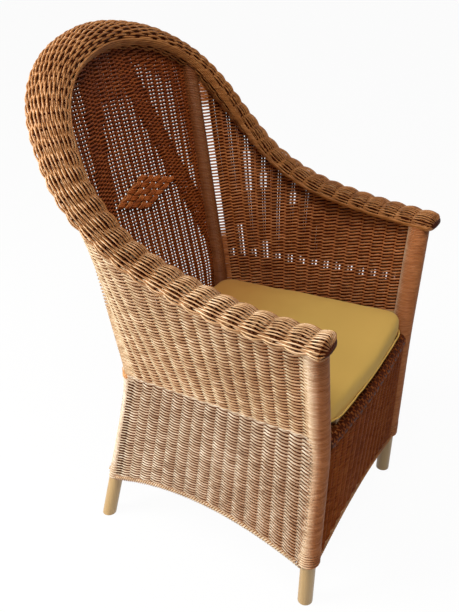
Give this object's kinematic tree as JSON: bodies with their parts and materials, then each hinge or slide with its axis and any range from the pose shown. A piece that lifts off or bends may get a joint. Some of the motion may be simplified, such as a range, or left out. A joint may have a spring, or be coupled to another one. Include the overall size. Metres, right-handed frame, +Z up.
{
  "type": "woven armchair",
  "caption": "Armchair with woven reed walls on a bent pole frame, a rolled rim that arches from arm to arm over the back, and a loose seat cushion.",
  "frame": {"origin": "on the floor, under the middle of the chair's bounding box", "axes": "+Z up, -Y to the front of the chair, +X to the sitter's left"},
  "size_m": [0.6308, 0.6681, 1.0261],
  "materials": {
    "pole": "bare peeled pole, clear varnish",
    "winding": "varnished reed, wound tight",
    "weave": "stained and varnished reed, woven over one and under one",
    "stake": "stained reed stakes",
    "hem": "varnished reed rod",
    "rim": "stained and varnished reed, woven round a pole",
    "slat": "bare sawn wood",
    "screw": "plain steel",
    "cushion_cloth": "plain cotton canvas, mustard yellow",
    "cushion_foam": "soft foam, covered"
  },
  "bodies": {
    "frame": {"back_stakes": "stake", "back_weave": "weave", "front_hem_rod": "hem", "front_left_post": "pole", "front_left_winding": "winding", "front_rail_binding": "winding", "front_right_post": "pole", "front_right_winding": "winding", "front_seat_rail": "pole", "front_skirt_stakes": "stake", "front_skirt_weave": "weave", "front_stretcher": "pole", "left_hem_rod": "hem", "left_seat_rail": "pole", "left_side_stakes": "stake", "left_side_weave": "weave", "left_skirt_stakes": "stake", "left_skirt_weave": "weave", "left_stretcher": "pole", "rear_hem_rod": "hem", "rear_left_post": "pole", "rear_left_winding": "winding", "rear_right_post": "pole", "rear_right_winding": "winding", "rear_seat_rail": "pole", "rear_skirt_stakes": "stake", "rear_skirt_weave": "weave", "rear_stretcher": "pole", "right_hem_rod": "hem", "right_seat_rail": "pole", "right_side_stakes": "stake", "right_side_weave": "weave", "right_skirt_stakes": "stake", "right_skirt_weave": "weave", "right_stretcher": "pole", "rim_pole": "pole", "rim_roll": "rim", "seat_rail_screws": "screw", "seat_slat_1": "slat", "seat_slat_2": "slat", "seat_slat_3": "slat", "seat_slat_4": "slat", "seat_slat_5": "slat", "seat_slat_6": "slat", "seat_slat_7": "slat", "stretcher_screws": "screw"},
    "cushion": {"cushion_cover": "cushion_cloth", "cushion_foam": "cushion_foam"}
  },
  "joints": [
    {"name": "cushion_lift", "type": "slide", "parent": "frame", "child": "cushion", "axis": [0, 0, 1], "range_m": [0, 0.25]}
  ]
}
